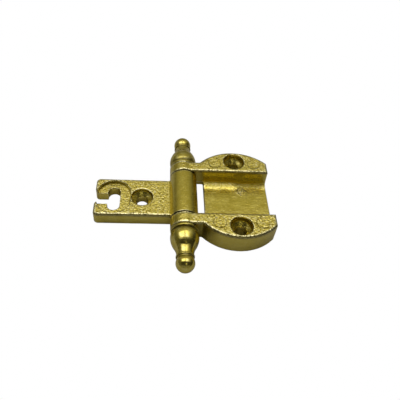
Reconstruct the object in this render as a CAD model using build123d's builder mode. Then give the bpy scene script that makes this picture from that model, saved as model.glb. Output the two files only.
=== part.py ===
"""Inset cabinet hinge: a wing leaf with two arc-shaped cheeks, a slotted arm leaf and turned finials.

Millimetres. X runs along the open leaves, Y along the pin, and Z up from the back of the arm leaf.
The origin lies on that back, under the middle of the pin. The hinge is drawn open flat, and it is
the same on both sides of the XZ plane.
"""

from build123d import *
from math import sqrt
import os

# Hinge line
barrel_radius = 5.0  # outside of the barrel and of both knuckles
knuckle_length = 4.7
barrel_end_gap = 0.3  # between the barrel and a knuckle, at each end
pin_radius = 2.5  # shaft of the pin, tight in both knuckles
pin_running_gap = 0.05  # radial clearance of the shaft in the barrel
spigot_radius = 1.8  # turned-down end of the pin that carries a finial
spigot_length = 5.0
spigot_end_gap = 0.2  # room left at the bottom of a finial's bore

# Both leaves
leaf_reach = 32.0  # from the pin axis to the end of either leaf
screw_radius = 2.1  # clearance hole for a 4 mm countersunk screw
countersink_radius = 3.95
countersink_angle = 80.0
cast_edge = 0.3  # small bevel along the castings' outer edges and barrel ends

# Wing leaf
channel_width = 20.0  # between the two cheeks
arc_radius = 17.5  # outline of a cheek, the radius of a 35 mm boring bit
arc_spread = 3.0  # from the middle of the leaf to the centre of a cheek's arc
screw_line = 19.3  # from the pin axis to the arc centres and the cheek screws
cheek_screw_edge = 5.0  # from the crown of a cheek's arc to its screw hole
crest_height = 0.5  # how far the knuckles stand above the cheeks
crest_blend = 3.0  # radius between a knuckle and the top of its neck
neck_blend = 0.8  # radius between a knuckle and the underside of its neck
neck_chamfer = 1.0  # along the inner bottom edge of each neck
floor_thickness = 1.8
window_width = 2.8  # open gap between the barrel and the channel floor
channel_corner = 1.5  # radius between the floor and the channel walls
wing_corner = 0.8  # plan radius at the outer end of each cheek
notch_corner = 0.6  # plan radius where a neck runs into its cheek's arc
ejector_radius = 2.3
ejector_depth = 0.12
ejector_pitch = 7.5  # along the leaf, from the screw hole to a mark
ejector_inset = 1.3  # from the screw hole towards the channel

# Arm leaf
arm_rise = 0.3  # from the pin axis up to the top of the arm
arm_side_gap = 1.5  # play between the folded arm and a channel wall
closing_gap = 1.9  # between the folded arm and the channel floor
arm_corner = 1.5  # plan radius at the outer corners
slot_radius = 2.2  # half the width of the key slot
slot_setback = 6.7  # from the arm's end to the middle of the key slot
slot_travel = 5.9  # straight length of the key slot
entry_width = 4.8  # mouth that lets a fitted screw into the key slot
entry_corner = 1.2  # plan radius at the outer corners of the mouth
recess_depth = 1.5  # sunk landing for the screw head round the key slot
recess_end_wall = 0.75  # rim left at the arm's end
recess_side_wall = 0.95  # rim left at the arm's sides
screw_web = 0.25  # web between the recess and the arm's countersink

# Finials, with lengths along the pin
flange_radius = 4.9
flange_width = 0.9
flange_edge = 0.12
groove_radius = 4.4
groove_width = 0.35
crown_offset = 3.3  # from the knuckle to where the bulb is as wide as the barrel
taper_start = 2.7  # from the crown to the steep upper part of the taper
taper_start_radius = 4.41
taper_length = 2.5  # the straight middle of the taper
taper_end_radius = 3.29
bulb_length = 9.35  # from the groove to the bead
bulb_end_radius = 2.95
bead_radius = 3.2
bead_edge = 0.15
bead_width = 0.65
neck_radius = 2.85
neck_width = 0.5
ball_radius = 3.25

# Places worked out from the sizes above
axis_height = barrel_radius
arm_thickness = axis_height + arm_rise
channel_half = channel_width / 2
knuckle_end = channel_half + knuckle_length
barrel_half = channel_half - barrel_end_gap
channel_floor = 2 * axis_height - arm_thickness - closing_gap
wing_back = channel_floor - floor_thickness
wing_top = axis_height + barrel_radius - crest_height
floor_start = barrel_radius + window_width
cheek_screw_y = arc_spread + arc_radius - cheek_screw_edge
arm_half = channel_half - arm_side_gap
slot_x = slot_setback - leaf_reach
recess_radius = slot_setback - recess_end_wall
recess_travel = 2 * (arm_half - recess_side_wall - recess_radius)
arm_screw_x = slot_x + recess_radius + screw_web + countersink_radius
groove_end = flange_width + groove_width
bulb_end = groove_end + bulb_length
bead_end = bulb_end + bead_width
neck_end = bead_end + neck_width
ball_centre = neck_end + sqrt(ball_radius**2 - neck_radius**2)

same_place = 0.001  # two places closer than this are one
pin_axis = Axis((0, 0, axis_height), (0, 1, 0))
far_face = Plane((0, knuckle_end, axis_height), z_dir=(0, -1, 0))


def on_level(edges: ShapeList, height: float) -> ShapeList:
    """Edges that lie wholly at one height."""

    def is_level(edge: Edge) -> bool:
        box = edge.bounding_box()
        return max(abs(box.min.Z - height), abs(box.max.Z - height)) < same_place

    return edges.filter_by(is_level)


def off_middle(edges: ShapeList, distance: float) -> ShapeList:
    """Edges whose middle is this far to either side of the XZ plane."""
    return edges.filter_by(lambda edge: abs(abs(edge.center().Y) - distance) < same_place)


# Wing leaf: one casting with two cheeks, a thin floor between them and two knuckles
with BuildPart() as wing_leaf:
    with BuildSketch(Plane.XY.offset(wing_back)) as wing_plan:
        with Locations((screw_line, arc_spread), (screw_line, -arc_spread)):
            Circle(arc_radius)
        Rectangle(leaf_reach, 4 * arc_radius, align=(Align.MIN, Align.CENTER), mode=Mode.INTERSECT)
        Rectangle(screw_line, 2 * knuckle_end, align=(Align.MIN, Align.CENTER))
        Rectangle(floor_start, channel_width, align=(Align.MIN, Align.CENTER), mode=Mode.SUBTRACT)
        fillet(wing_plan.vertices().group_by(Axis.X)[-1], wing_corner)
        notches = wing_plan.vertices().filter_by(
            lambda v: abs(abs(v.Y) - knuckle_end) < same_place and 0 < v.X < screw_line
        )
        fillet(notches, notch_corner)
    extrude(amount=wing_top - wing_back)

    # Channel that takes the folded arm
    with BuildSketch(Plane.XY.offset(channel_floor)):
        Rectangle(leaf_reach, channel_width, align=(Align.MIN, Align.CENTER))
    extrude(amount=wing_top - channel_floor, mode=Mode.SUBTRACT)
    floor_sides = off_middle(on_level(wing_leaf.edges(), channel_floor), channel_half)
    fillet(floor_sides, channel_corner)
    neck_bottoms = off_middle(on_level(wing_leaf.edges(), wing_back), channel_half)
    chamfer(neck_bottoms, neck_chamfer)

    # Knuckles, blended into their necks above and below
    with BuildSketch(Plane.XZ.offset(channel_half), Plane.XZ.offset(-knuckle_end)):
        with Locations((0, axis_height)):
            Circle(barrel_radius)
    extrude(amount=knuckle_length)
    creases = wing_leaf.edges().filter_by(Axis.Y).filter_by(lambda e: 0 < e.center().X < barrel_radius)
    fillet(on_level(creases, wing_top), crest_blend)
    fillet(on_level(creases, wing_back), neck_blend)

    # Small cast edges round the knuckles and all along the top
    arcs = wing_leaf.edges().filter_by(GeomType.CIRCLE)
    knuckle_rims = arcs.filter_by(lambda e: abs(e.radius - barrel_radius) < same_place)
    chamfer(knuckle_rims + on_level(wing_leaf.edges(), wing_top), cast_edge)

    with BuildSketch(far_face):
        Circle(pin_radius)
    extrude(amount=2 * knuckle_end, mode=Mode.SUBTRACT)

    # Marks left by the ejector pins, and the countersunk screw holes
    with BuildSketch(Plane.XY.offset(wing_top)):
        with Locations((screw_line, 0)):
            with GridLocations(2 * ejector_pitch, 2 * (cheek_screw_y - ejector_inset), 2, 2):
                Circle(ejector_radius)
    extrude(amount=-ejector_depth, mode=Mode.SUBTRACT)
    with Locations((screw_line, cheek_screw_y, wing_top), (screw_line, -cheek_screw_y, wing_top)):
        CounterSinkHole(screw_radius, countersink_radius, counter_sink_angle=countersink_angle)
wing_leaf.part.label = "wing_leaf"

# Arm leaf: one casting with the barrel, a key slot open at the end and one screw hole
with BuildPart() as arm_leaf:
    with BuildSketch() as arm_plan:
        Rectangle(leaf_reach, 2 * arm_half, align=(Align.MAX, Align.CENTER))
        fillet(arm_plan.vertices().group_by(Axis.X)[0], arm_corner)
        with Locations((slot_x, 0)):
            SlotCenterToCenter(slot_travel, 2 * slot_radius, rotation=90, mode=Mode.SUBTRACT)
        with Locations((-leaf_reach, 0)):
            Rectangle(slot_setback, entry_width, align=(Align.MIN, Align.CENTER), mode=Mode.SUBTRACT)
        mouth = arm_plan.vertices().group_by(Axis.X)[0].filter_by(lambda v: abs(v.Y) < entry_width)
        fillet(mouth, entry_corner)
    extrude(amount=arm_thickness)
    skin = on_level(arm_leaf.edges(), arm_thickness) + on_level(arm_leaf.edges(), 0)
    chamfer(skin.filter_by(lambda e: e.center().X < -same_place), cast_edge)

    # Landing for the screw head round the key slot
    with BuildSketch(Plane.XY.offset(arm_thickness)):
        with Locations((slot_x, 0)):
            SlotCenterToCenter(recess_travel, 2 * recess_radius, rotation=90)
    extrude(amount=-recess_depth, mode=Mode.SUBTRACT)
    with Locations((arm_screw_x, 0, arm_thickness)):
        CounterSinkHole(screw_radius, countersink_radius, counter_sink_angle=countersink_angle)

    # Barrel, bored to run on the pin
    with BuildSketch(Plane.YZ) as barrel_section:
        with Locations((0, axis_height)):
            Rectangle(2 * barrel_half, barrel_radius, align=(Align.CENTER, Align.MIN))
        chamfer(barrel_section.vertices().group_by(Axis.Y)[-1], cast_edge)
    revolve(axis=pin_axis)
    with BuildSketch(far_face):
        Circle(pin_radius + pin_running_gap)
    extrude(amount=2 * knuckle_end, mode=Mode.SUBTRACT)
arm_leaf.part.label = "arm_leaf"

# Hinge pin: a straight shaft with a smaller spigot at each end
with BuildPart() as hinge_pin:
    with BuildSketch(far_face):
        Circle(pin_radius)
    extrude(amount=2 * knuckle_end)
    with BuildSketch(far_face.offset(-spigot_length)):
        Circle(spigot_radius)
    extrude(amount=2 * (knuckle_end + spigot_length))
hinge_pin.part.label = "hinge_pin"

# Front finial: flange, bulb, bead and ball end, turned in one piece and bored for the spigot
with BuildPart() as finial_front:
    front_face = Plane((0, -knuckle_end, axis_height), x_dir=(0, -1, 0), z_dir=(-1, 0, 0))
    with BuildSketch(front_face):
        with BuildLine():
            flange = Polyline(
                (0, 0),
                (0, flange_radius - flange_edge),
                (flange_edge, flange_radius),
                (flange_width - flange_edge, flange_radius),
                (flange_width, flange_radius - flange_edge),
                (flange_width, groove_radius),
            )
            groove = Line(flange @ 1, (groove_end, groove_radius))
            shoulder = Spline(groove @ 1, (crown_offset, barrel_radius), tangents=((1, 1), (1, 0)))
            taper = Spline(
                shoulder @ 1,
                (crown_offset + taper_start, taper_start_radius),
                (crown_offset + taper_start + taper_length, taper_end_radius),
                (bulb_end, bulb_end_radius),
                tangents=((1, 0), (1, 0)),
            )
            bead = Polyline(
                taper @ 1,
                (bulb_end, bead_radius - bead_edge),
                (bulb_end + bead_edge, bead_radius),
                (bead_end - bead_edge, bead_radius),
                (bead_end, bead_radius - bead_edge),
                (bead_end, neck_radius),
            )
            neck = Line(bead @ 1, (neck_end, neck_radius))
            ball = ThreePointArc(neck @ 1, (ball_centre, ball_radius), (ball_centre + ball_radius, 0))
            Line(ball @ 1, flange @ 0)
        make_face()
    revolve(axis=pin_axis)
    with BuildSketch(far_face.offset(2 * knuckle_end)):
        Circle(spigot_radius)
    extrude(amount=spigot_length + spigot_end_gap, mode=Mode.SUBTRACT)
finial_front.part.label = "finial_front"

# Rear finial: the same piece on the other end of the pin
with BuildPart() as finial_rear:
    mirror(finial_front.part, about=Plane.XZ)
finial_rear.part.label = "finial_rear"

os.makedirs("parts", exist_ok=True)
for piece in (wing_leaf, arm_leaf, hinge_pin, finial_front, finial_rear):
    export_step(piece.part, f"parts/{piece.part.label}.step")
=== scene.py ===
"""Looks of the inset hinge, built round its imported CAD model.

The scene holds the camera, a white backdrop, grey paper that only the metal
mirrors, soft studio light, and finer pieces that stand for the plain CAD
solids. Sizes in the dataclasses are in millimetres unless a name says
otherwise, and every finished mesh is in metres, in the frame of the CAD model:
X along the open leaves, Y along the pin, Z up from the back of the arm leaf.
"""

from __future__ import annotations

import logging
import math
from dataclasses import dataclass
from enum import Enum

import bmesh
import bpy
import numpy as np
from mathutils import Matrix, Vector

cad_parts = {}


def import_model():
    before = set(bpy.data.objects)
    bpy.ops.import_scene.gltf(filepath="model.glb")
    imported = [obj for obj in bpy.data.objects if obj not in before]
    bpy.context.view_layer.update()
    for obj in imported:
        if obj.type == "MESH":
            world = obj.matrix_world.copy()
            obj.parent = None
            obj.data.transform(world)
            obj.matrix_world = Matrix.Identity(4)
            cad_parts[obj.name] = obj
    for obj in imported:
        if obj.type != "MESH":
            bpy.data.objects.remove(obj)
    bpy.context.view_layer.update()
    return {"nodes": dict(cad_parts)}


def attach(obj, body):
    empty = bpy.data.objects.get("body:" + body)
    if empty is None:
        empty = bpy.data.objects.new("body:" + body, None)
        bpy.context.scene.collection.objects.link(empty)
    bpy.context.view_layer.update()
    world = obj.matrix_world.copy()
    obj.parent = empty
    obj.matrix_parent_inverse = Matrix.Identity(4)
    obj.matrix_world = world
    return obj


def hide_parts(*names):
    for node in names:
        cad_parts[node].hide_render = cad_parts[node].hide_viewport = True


LOG = logging.getLogger("hinge")
MM = 0.001
TINY = 1e-6
PHOTO_SIDE_PX = 400
# Large numbers that scatter the hashes of a lattice's corners, and a hash's top value.
HASH_STEPS = (73856093, 19349663, 83492791)
HASH_SEED = 2654435761
HASH_MIX = 1274126177
HASH_TOP = 0xFFFF
# The colour sockets of a Mix node: its share and two colours, and its result.
MIX_INPUTS = (0, 6, 7)
MIX_OUTPUT = 2

Colour = tuple[float, float, float]
Span = tuple[float, float]
Band = tuple[float, float, float, float]
# A noise's size in millimetres, how many finer layers it has and how strong they are.
Noise = tuple[float, float, float]
Socket = bpy.types.NodeSocket
# One row of X, Y and Z per vertex, in millimetres.
Points = np.ndarray
# One number per vertex.
Values = np.ndarray

RISING: Span = (0.0, 1.0)
FALLING: Span = (1.0, 0.0)
# Where most values of a noise lie.
USUAL: Span = (0.3, 0.7)


class Body(Enum):
    """The CAD bodies that pieces ride on."""

    WING = "wing"
    ARM = "arm"


class Slot(Enum):
    """The material slots."""

    CAST = "cast_brass"
    TURNED = "turned_brass"
    STEEL = "pin_steel"


class Ray(Enum):
    """The kinds of rays that can meet a surface."""

    CAMERA = "camera"
    DIFFUSE = "diffuse"
    GLOSSY = "glossy"
    TRANSMISSION = "transmission"
    VOLUME = "volume_scatter"
    SHADOW = "shadow"


def line(values: Values, start: float, end: float) -> Values:
    """0 at the start and 1 at the end, straight between them and held outside."""
    return np.clip((values - start) / (end - start), 0.0, 1.0)


def ease(values: Values, start: float, end: float) -> Values:
    """0 at the start and 1 at the end, on an S-curve between them and held outside."""
    part = line(values, start, end)
    return part * part * (3.0 - 2.0 * part)


def lattice_noise(points: Points, size: float, seed: int) -> Values:
    """Smooth random values over space.

    Each corner of a cubic lattice has a hashed random value, and a point takes
    the values of its cell's eight corners, weighted by an S-curve of its place
    in the cell.

    Args:
        points: the places.
        size: the lattice's pitch, in the points' unit.
        seed: a different number gives a different pattern.

    Returns:
        One value per point, from -1 to 1.
    """
    scaled = points / size
    cell = np.floor(scaled).astype(np.int64)
    part = ease(scaled - cell, *RISING)
    total = np.zeros(len(points))
    for corner in np.ndindex(2, 2, 2):
        key = (cell + np.array(corner)) * np.array(HASH_STEPS)
        mixed = key[:, 0] ^ key[:, 1] ^ key[:, 2] ^ (seed * HASH_SEED)
        mixed = (mixed ^ (mixed >> 13)) * HASH_MIX
        value = ((mixed ^ (mixed >> 16)) & HASH_TOP) / (HASH_TOP / 2) - 1.0
        total += value * np.prod(np.where(np.array(corner), part, 1.0 - part), axis=1)
    return total


def link_mesh(name: str, data: bpy.types.Mesh) -> bpy.types.Object:
    """Puts a mesh into the scene as an object at the origin.

    Args:
        name: the object's name.
        data: its mesh.

    Returns:
        The object.
    """
    made = bpy.data.objects.new(name, data)
    bpy.context.collection.objects.link(made)
    return made


def rows_of(items: bpy.types.bpy_prop_collection, key: str, width: int, kind: type) -> np.ndarray:
    """Reads a mesh's vertices or edges.

    Args:
        items: the mesh's vertices or edges.
        key: what is read from each.
        width: how many numbers that is.
        kind: the numbers' type.

    Returns:
        One row per item.
    """
    made = np.empty(len(items) * width, kind)
    items.foreach_get(key, made)
    return made.reshape(-1, width)


def mark_vertices(data: bpy.types.Mesh, name: str, values: Values) -> None:
    """Keeps one number per vertex as an attribute that a finish reads."""
    mark = data.attributes.new(name, "FLOAT", "POINT")
    mark.data.foreach_set("value", values.astype(np.float32))


class Graph:
    """A thin wrapper that lays out shader nodes and links them."""

    def __init__(self, tree: bpy.types.NodeTree) -> None:
        """Empties a node tree and keeps it.

        Args:
            tree: the node tree of a material or world.
        """
        self.tree = tree
        self.tree.nodes.clear()

    def add(self, kind: str, settings: dict | None = None, **inputs: object) -> bpy.types.Node:
        """Adds one node.

        Args:
            kind: Blender's name of the node type.
            settings: attributes of the node itself.
            inputs: values or output sockets for its inputs, by name with _ for a space.

        Returns:
            The new node.
        """
        node = self.tree.nodes.new(kind)
        for name, value in (settings or {}).items():
            setattr(node, name, value)
        for name, value in inputs.items():
            self.feed(node.inputs[name.replace("_", " ")], value)
        return node

    def feed(self, socket: Socket, value: object) -> None:
        """Links an output socket to an input, or sets the input's value.

        Args:
            socket: the input.
            value: an output socket, a number, a vector or a colour.
        """
        if isinstance(value, bpy.types.NodeSocket):
            self.tree.links.new(value, socket)
        elif socket.type == "RGBA":
            socket.default_value = (*value, 1.0)
        else:
            socket.default_value = value

    def maths(self, operation: str, *values: object) -> Socket:
        """Adds one arithmetic step.

        Args:
            operation: Blender's name of the step.
            values: the numbers or sockets that it works on.

        Returns:
            The step's result.
        """
        node = self.add("ShaderNodeMath", {"operation": operation})
        for socket, value in zip(node.inputs, values):
            self.feed(socket, value)
        return node.outputs[0]

    def times(self, first: object, second: object) -> Socket:
        """The product of two numbers or sockets."""
        return self.maths("MULTIPLY", first, second)

    def plus(self, total: object, value: object, weight: object) -> Socket:
        """A total plus a value times a weight."""
        return self.maths("MULTIPLY_ADD", value, weight, total)

    def remainder(self, share: Socket) -> Socket:
        """What a share leaves of 1."""
        return self.maths("SUBTRACT", 1.0, share)

    def spread(self, value: object, over: Span, onto: Span = RISING) -> Socket:
        """Maps one range smoothly onto another, held at both ends.

        Args:
            value: the number that is mapped.
            over: the range that it comes from.
            onto: the range that it goes to.

        Returns:
            The mapped number.
        """
        node = self.add("ShaderNodeMapRange", {"interpolation_type": "SMOOTHSTEP"}, Value=value)
        for name, number in zip(("From Min", "From Max", "To Min", "To Max"), (*over, *onto)):
            node.inputs[name].default_value = number
        return node.outputs["Result"]

    def plateau(self, value: object, band: Band) -> Socket:
        """Rises from 0 to 1 over the band's first two numbers and falls to 0 over its last two."""
        return self.times(self.spread(value, band[:2]), self.spread(value, band[2:], FALLING))

    def noise(self, where: Socket, size_mm: float, detail: float, rough: float) -> Socket:
        """Adds noise from 0 to 1.

        Args:
            where: the place.
            size_mm: how far its blobs are across, about.
            detail: how many finer layers it has.
            rough: how strong the finer layers are.

        Returns:
            The noise at that place.
        """
        scale = 1.0 / (size_mm * MM)
        values = {"Vector": where, "Scale": scale, "Detail": detail, "Roughness": rough}
        return self.add("ShaderNodeTexNoise", **values).outputs["Fac"]

    def blend(self, share: object, first: object, second: object) -> Socket:
        """Mixes two colours.

        Args:
            share: how much of the second is in it.
            first: the colour at share 0.
            second: the colour at share 1.

        Returns:
            The mixed colour.
        """
        node = self.add("ShaderNodeMix", {"data_type": "RGBA"})
        for index, value in zip(MIX_INPUTS, (share, first, second)):
            self.feed(node.inputs[index], value)
        return node.outputs[MIX_OUTPUT]

    def tinted(self, level: Socket, tint: Colour) -> Socket:
        """Multiplies a tint by a level, which may go past 1.

        Args:
            level: the level.
            tint: the tint.

        Returns:
            The colour.
        """
        node = self.add("ShaderNodeVectorMath", {"operation": "SCALE"}, Scale=level)
        self.feed(node.inputs[0], tint)
        return node.outputs[0]

    def place(self) -> Socket:
        """The place on the object, in metres."""
        return self.add("ShaderNodeTexCoord").outputs["Object"]

    def attribute(self, name: str) -> Socket:
        """One of the mesh's attributes."""
        return self.add("ShaderNodeAttribute", {"attribute_name": name}).outputs["Fac"]

    def bump(self, height: Socket) -> Socket:
        """The normal of a surface that is raised by a height in metres."""
        node = self.add("ShaderNodeBump", Height=height, Strength=1.0, Distance=1.0)
        return node.outputs["Normal"]

    def metal(self, skin: Socket, gloss: Socket, **inputs: object) -> bpy.types.Node:
        """A metal's shader of a colour and a roughness."""
        values = {"Base Color": skin, "Roughness": gloss, "Metallic": 1.0, **inputs}
        return self.add("ShaderNodeBsdfPrincipled", **values)


class Finish:
    """What a surface is like. A finish makes one node material."""

    def shader(self, graph: Graph) -> bpy.types.Node:
        """Lays out the finish's nodes, and gives its shader node."""
        raise NotImplementedError

    def material(self, name: str) -> bpy.types.Material:
        """Builds the node material.

        Args:
            name: the material's name.

        Returns:
            The material.
        """
        made = bpy.data.materials.new(name)
        made.use_nodes = True
        graph = Graph(made.node_tree)
        graph.add("ShaderNodeOutputMaterial", Surface=self.shader(graph).outputs[0])
        return made


@dataclass(frozen=True)
class CastBrass(Finish):
    """Die-cast brass, tumbled: a satin skin with grains and rubbed edges, with painted shade in
    creases, holes and seams.
    """

    base: Colour = (0.80, 0.655, 0.105)
    worn: Colour = (0.88, 0.75, 0.16)
    rubbed: Colour = (0.96, 0.87, 0.38)
    # Dark brown: the colour of the random dark specks, and of the painted shade in creases.
    stain_and_shade_colour: Colour = (0.34, 0.24, 0.025)
    # Near black: the colour of the painted shade, and of the dark marks on the castings.
    shade_and_mark_colour: Colour = (0.055, 0.031, 0.003)
    roughness: float = 0.33
    rubbed_roughness: float = 0.13
    smooth_roughness: float = 0.22
    # Roughness added where shade is painted or a dark mark lies.
    shade_and_mark_roughness: float = 0.3
    cloud_roughness: Span = (-0.03, 0.04)
    grain: Noise = (0.62, 1.0, 0.5)
    satin: Noise = (0.14, 1.0, 0.5)
    speck: Noise = (0.54, 1.0, 0.6)
    cloud: Noise = (3.2, 3.0, 0.55)
    grain_depth_mm: float = 0.26
    satin_depth_mm: float = 0.012
    # The values between which each mark comes or goes, and its share.
    worn_at: Span = (0.35, 0.7)
    worn_share: float = 0.6
    dark_at: Span = (0.36, 0.44)
    dark_share: float = 0.9
    bright_at: Span = (0.55, 0.63)
    bright_share: float = 0.8
    # The crease marks are painted shade, where the skin sinks below its neighbours.
    crease_at: Span = (-0.35, -0.05)
    crease_share: float = 0.7
    rubbed_at: Span = (0.12, 0.42)
    grainy_at: Span = (0.1, 0.9)
    # Where the speckled painted shade and dark marks come, and their share.
    shade_and_mark_at: Span = (0.25, 0.75)
    shade_and_mark_span: Span = (0.55, 1.35)

    def shader(self, graph: Graph) -> bpy.types.Node:
        """Lays out the nodes, which read the place, the attributes grain and edge, and the
        attribute of painted shade and dark marks.

        Args:
            graph: the material's nodes.

        Returns:
            The shader node.
        """
        place = graph.place()
        zone, edge, shade_and_marks = (graph.attribute(name) for name in ("grain", "edge", "shade_and_marks"))
        noises = (self.grain, self.satin, self.speck, self.cloud)
        grain, satin, speck, cloud = (graph.noise(place, *noise) for noise in noises)
        rubbed = graph.spread(edge, self.rubbed_at)
        # Painted shade in the creases.
        crease = graph.spread(edge, self.crease_at, FALLING)
        bright = graph.times(graph.spread(speck, self.bright_at), zone)
        dark = graph.times(graph.spread(speck, self.dark_at, FALLING), zone)
        # Painted shade, with the dark marks, from the mesh's attribute, broken into specks.
        shade_and_mark_mix = graph.times(shade_and_marks, graph.spread(speck, self.shade_and_mark_at, self.shade_and_mark_span))
        shade_and_mark_mix = graph.maths("MINIMUM", shade_and_mark_mix, 1.0)
        worn = graph.spread(cloud, self.worn_at, (0.0, self.worn_share))
        skin = graph.blend(worn, self.base, self.worn)
        skin = graph.blend(graph.times(dark, self.dark_share), skin, self.stain_and_shade_colour)
        skin = graph.blend(graph.times(crease, self.crease_share), skin, self.stain_and_shade_colour)
        shiny = graph.maths("MAXIMUM", rubbed, graph.times(bright, self.bright_share))
        skin = graph.blend(shiny, skin, self.rubbed)
        skin = graph.blend(shade_and_mark_mix, skin, self.shade_and_mark_colour)
        gloss = graph.spread(zone, self.grainy_at, (self.smooth_roughness, self.roughness))
        gloss = graph.maths("ADD", gloss, graph.spread(cloud, USUAL, self.cloud_roughness))
        gloss = graph.plus(gloss, shade_and_mark_mix, self.shade_and_mark_roughness)
        gloss = graph.plus(gloss, rubbed, graph.maths("SUBTRACT", self.rubbed_roughness, gloss))
        relief = graph.times(graph.times(grain, zone), self.grain_depth_mm * MM)
        relief = graph.plus(relief, satin, self.satin_depth_mm * MM)
        return graph.metal(skin, gloss, Normal=graph.bump(relief))


@dataclass(frozen=True)
class TurnedBrass(Finish):
    """Brass turned on a lathe and tumbled: fine rings, slightly uneven, with painted shade in its
    grooves.
    """

    base: Colour = (0.80, 0.66, 0.115)
    worn: Colour = (0.90, 0.79, 0.25)
    dull: Colour = (0.62, 0.49, 0.09)
    # Near black: the colour of the painted shade in the grooves and seams.
    shade_and_mark_colour: Colour = (0.030, 0.019, 0.003)
    cloud_roughness: Span = (0.16, 0.25)
    # Roughness added where shade is painted.
    shade_roughness: float = 0.35
    rings: Noise = (0.22, 2.0, 0.7)
    dents: Noise = (1.5, 1.0, 0.5)
    grain: Noise = (0.45, 1.0, 0.6)
    cloud: Noise = (1.6, 3.0, 0.55)
    ring_depth_mm: float = 0.002
    dent_depth_mm: float = 0.035
    grain_depth_mm: float = 0.012
    # The values between which each mark comes or goes, and its share.
    worn_at: Span = (0.4, 0.7)
    dull_at: Span = (0.3, 0.45)
    dull_share: float = 0.7

    def shader(self, graph: Graph) -> bpy.types.Node:
        """Lays out the nodes, which read the place and the attribute of painted shade.

        Args:
            graph: the material's nodes.

        Returns:
            The shader node.
        """
        place = graph.place()
        shade_and_marks = graph.attribute("shade_and_marks")
        along = graph.add("ShaderNodeSeparateXYZ", Vector=place).outputs["Y"]
        rings = graph.noise(graph.add("ShaderNodeCombineXYZ", Y=along).outputs[0], *self.rings)
        noises = (self.dents, self.grain, self.cloud)
        dents, grain, cloud = (graph.noise(place, *noise) for noise in noises)
        skin = graph.blend(graph.spread(cloud, self.worn_at), self.base, self.worn)
        dull = graph.spread(grain, self.dull_at, (self.dull_share, 0.0))
        skin = graph.blend(dull, skin, self.dull)
        # Painted shade in the grooves and seams.
        skin = graph.blend(shade_and_marks, skin, self.shade_and_mark_colour)
        gloss = graph.spread(cloud, USUAL, self.cloud_roughness)
        gloss = graph.plus(gloss, shade_and_marks, self.shade_roughness)
        relief = graph.times(rings, self.ring_depth_mm * MM)
        relief = graph.plus(relief, dents, self.dent_depth_mm * MM)
        relief = graph.plus(relief, grain, self.grain_depth_mm * MM)
        return graph.metal(skin, gloss, Normal=graph.bump(relief))


@dataclass(frozen=True)
class PinSteel(Finish):
    """Drawn steel wire with faint marks along its length."""

    base: Colour = (0.50, 0.49, 0.47)
    dull: Colour = (0.36, 0.35, 0.33)
    roughness: float = 0.3
    dull_roughness: float = 0.38
    stretch: tuple[float, float, float] = (1.0, 0.08, 1.0)
    marks: Noise = (0.25, 2.0, 0.6)

    def shader(self, graph: Graph) -> bpy.types.Node:
        """Lays out the nodes, which read the place.

        Args:
            graph: the material's nodes.

        Returns:
            The shader node.
        """
        drawn = graph.add("ShaderNodeMapping", Vector=graph.place(), Scale=self.stretch)
        marks = graph.noise(drawn.outputs[0], *self.marks)
        skin = graph.blend(graph.spread(marks, USUAL), self.dull, self.base)
        gloss = graph.spread(marks, USUAL, (self.dull_roughness, self.roughness))
        return graph.metal(skin, gloss)


@dataclass(frozen=True)
class GreyPaper(Finish):
    """Matt grey paper that the metal mirrors from below."""

    base: Colour = (0.56, 0.56, 0.56)
    roughness: float = 0.9

    def shader(self, graph: Graph) -> bpy.types.Node:
        """A plain shader."""
        return graph.add("ShaderNodeBsdfPrincipled", Base_Color=self.base, Roughness=self.roughness)


@dataclass(frozen=True)
class WhiteGlow(Finish):
    """An even white that needs no light."""

    base: Colour = (1.0, 1.0, 1.0)
    strength: float = 1.0

    def shader(self, graph: Graph) -> bpy.types.Node:
        """A plain glow."""
        return graph.add("ShaderNodeEmission", Color=self.base, Strength=self.strength)


@dataclass(frozen=True)
class Pane:
    """A rectangle of the surroundings, in degrees round the X axis and in the way's X part."""

    turn: Band
    side: Band
    level: float = 1.0

    def shape(self, graph: Graph, turn: Socket, side: Socket) -> Socket:
        """1 inside the rectangle, fading to 0 at its borders."""
        return graph.times(graph.plateau(turn, self.turn), graph.plateau(side, self.side))


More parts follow.
